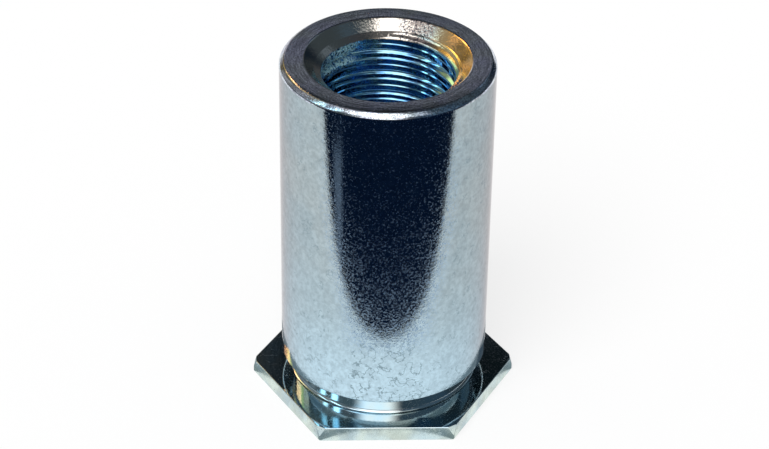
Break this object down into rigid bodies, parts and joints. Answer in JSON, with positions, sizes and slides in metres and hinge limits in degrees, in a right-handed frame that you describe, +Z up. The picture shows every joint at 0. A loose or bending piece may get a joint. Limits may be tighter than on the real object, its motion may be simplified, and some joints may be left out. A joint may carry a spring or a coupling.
{
  "type": "self-clinching standoff",
  "caption": "Turned standoff with a thin hexagon head, a clinching groove above it, a plain round barrel and a threaded bore that opens through a countersunk rim.",
  "frame": {"origin": "centre of the hexagon head's underside, on the bore's axis", "axes": "+Z up the bore from the head to the rim, +X through one corner of the hexagon, -Y through one of its flats"},
  "size_m": [0.0092, 0.008, 0.0127],
  "materials": {
    "zinc_plate": "bright zinc plate with a clear blue passivation, satin on the barrel and bright on the head"
  },
  "bodies": {
    "root": {"standoff": "zinc_plate"}
  },
  "joints": []
}
